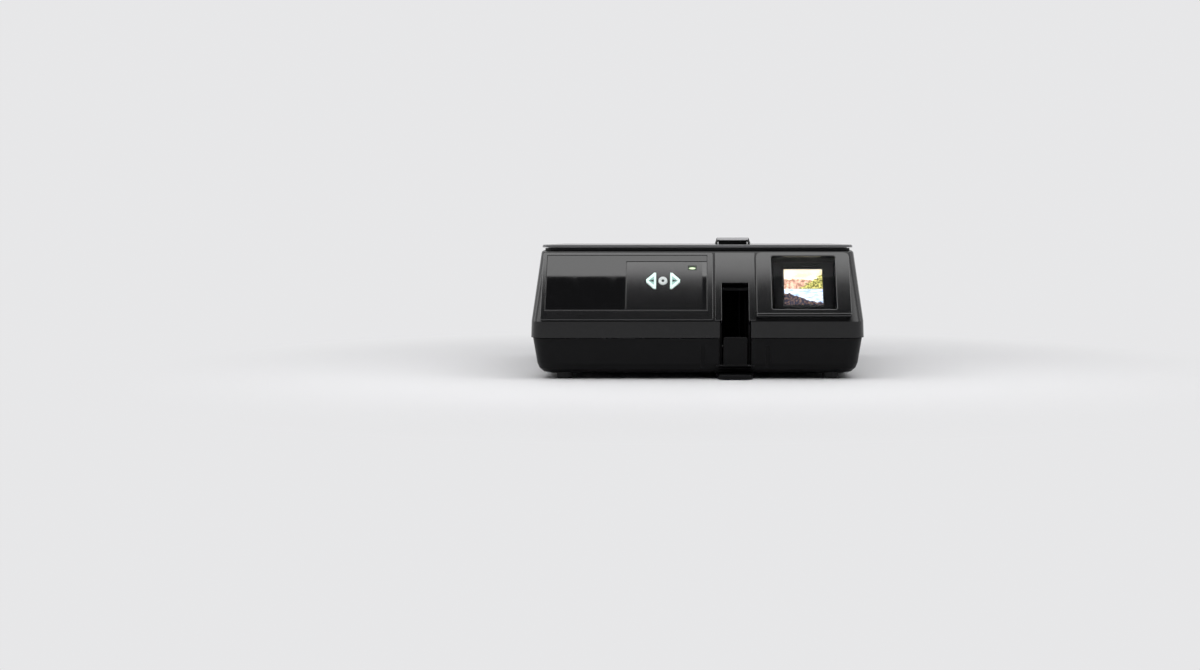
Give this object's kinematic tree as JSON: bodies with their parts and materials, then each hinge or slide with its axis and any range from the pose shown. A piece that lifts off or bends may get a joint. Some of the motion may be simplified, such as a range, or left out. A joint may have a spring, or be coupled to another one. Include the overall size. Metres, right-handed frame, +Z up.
{
  "type": "film and slide scanner",
  "caption": "Desktop film and slide scanner with an upright holder channel, tilted key panel, lit slide viewer, hinged lid and pull-up slide lifter.",
  "frame": {"origin": "centre of the bounding box on the table plane, under the middle of the object", "axes": "+Z up, front with keys and viewer towards -Y, +X to the right seen from the front"},
  "size_m": [0.29, 0.289, 0.1225],
  "materials": {
    "case_black": "fine satin texture",
    "lid_black": "satin",
    "gloss_black": "polished",
    "bezel_black": "semi-gloss",
    "well_black": "matte",
    "key_mint": "translucent, lit from behind",
    "led_green": "translucent",
    "clear_acrylic": "polished",
    "mount_grey": "moulded",
    "film": "dyed transparency",
    "opal": "opal",
    "board_green": "solder mask",
    "chip_black": "moulded",
    "steel": "zinc plated",
    "black_metal": "anodised look",
    "lens_glass": "coated",
    "brass": "machined",
    "nylon": "moulded",
    "rubber": "matte",
    "motor_grey": "plated can",
    "frame_grey": "moulded"
  },
  "bodies": {
    "housing": {"lower_case": "case_black", "upper_case": "case_black", "lid_hinge_pins": "steel", "inner_deck": "case_black", "control_fascia": "bezel_black", "name_panel": "gloss_black", "button_panel": "gloss_black", "control_board": "board_green", "button_switches": "chip_black", "status_led": "led_green", "viewer_bezel": "bezel_black", "viewer_well": "well_black", "viewer_window": "clear_acrylic", "slide_mount": "mount_grey", "slide_film": "film", "viewer_diffuser": "opal", "viewer_lamp_board": "board_green", "mouth_frame": "bezel_black", "holder_channel": "well_black", "flap_pin": "steel", "tongue_rails": "case_black", "chassis_plate": "steel", "lens_block": "black_metal", "lens_barrel": "black_metal", "lens_glasses": "lens_glass", "sensor_stand": "steel", "sensor_board": "board_green", "image_sensor": "chip_black", "light_frame": "frame_grey", "light_plate": "opal", "light_board": "board_green", "feed_motor": "motor_grey", "drive_bracket": "steel", "roller_bracket": "steel", "main_board": "board_green", "board_parts": "chip_black", "usb_socket": "motor_grey", "power_socket": "chip_black", "switch_housing": "chip_black", "rubber_feet": "rubber", "case_screws": "steel"},
    "lid": {"top_lid": "lid_black"},
    "back_key": {"button_back": "key_mint"},
    "power_key": {"button_power": "key_mint"},
    "forward_key": {"button_forward": "key_mint"},
    "flap": {"mouth_flap": "case_black"},
    "tongue": {"support_tongue": "case_black"},
    "lifter": {"slide_lifter": "bezel_black", "lifter_yoke": "well_black"},
    "rocker": {"switch_rocker": "chip_black"},
    "feed_wheel": {"feed_hub": "nylon", "feed_tyre": "rubber", "feed_axle": "steel", "drive_gear": "nylon"},
    "motor_rotor": {"motor_shaft": "steel", "motor_pinion": "brass"},
    "idler": {"pressure_roller": "rubber", "pressure_axle": "steel"}
  },
  "joints": [
    {"name": "lid_hinge", "type": "hinge", "parent": "housing", "child": "lid", "pos_m": [0, 0.1375, 0.114], "axis": [-1, 0, 0], "range_deg": [0, 75]},
    {"name": "back_press", "type": "slide", "parent": "housing", "child": "back_key", "axis": [0, 0.8829, -0.4695], "range_m": [0, 0.001], "stiffness_N_per_m": 250},
    {"name": "power_press", "type": "slide", "parent": "housing", "child": "power_key", "axis": [0, 0.8829, -0.4695], "range_m": [0, 0.001], "stiffness_N_per_m": 250},
    {"name": "forward_press", "type": "slide", "parent": "housing", "child": "forward_key", "axis": [0, 0.8829, -0.4695], "range_m": [0, 0.001], "stiffness_N_per_m": 250},
    {"name": "flap_hinge", "type": "hinge", "parent": "housing", "child": "flap", "pos_m": [0.0328, -0.1331, 0.0116], "axis": [1, 0, 0], "range_deg": [0, 80], "stiffness_Nm_per_rad": 0.01},
    {"name": "tongue_slide", "type": "slide", "parent": "housing", "child": "tongue", "axis": [0, -1, 0], "range_m": [0, 0.09]},
    {"name": "lifter_slide", "type": "slide", "parent": "housing", "child": "lifter", "axis": [0, 0, 1], "range_m": [0, 0.024]},
    {"name": "rocker_pivot", "type": "hinge", "parent": "housing", "child": "rocker", "pos_m": [-0.114, 0.1394, 0.02], "axis": [0, 0, 1], "range_deg": [0, 18]},
    {"name": "feed_spin", "type": "hinge", "parent": "housing", "child": "feed_wheel", "pos_m": [0.00215, 0.06, 0.048], "axis": [0, 0, 1], "continuous": true},
    {"name": "motor_spin", "type": "hinge", "parent": "housing", "child": "motor_rotor", "pos_m": [-0.01795, 0.06, 0.048], "axis": [0, 0, 1], "continuous": true},
    {"name": "idler_spin", "type": "hinge", "parent": "housing", "child": "idler", "pos_m": [0.05145, 0.06, 0.024], "axis": [0, 0, 1], "continuous": true}
  ],
  "couplings": [
    {"joint": "motor_spin", "follows": "feed_spin", "ratio": -2.3333}
  ]
}
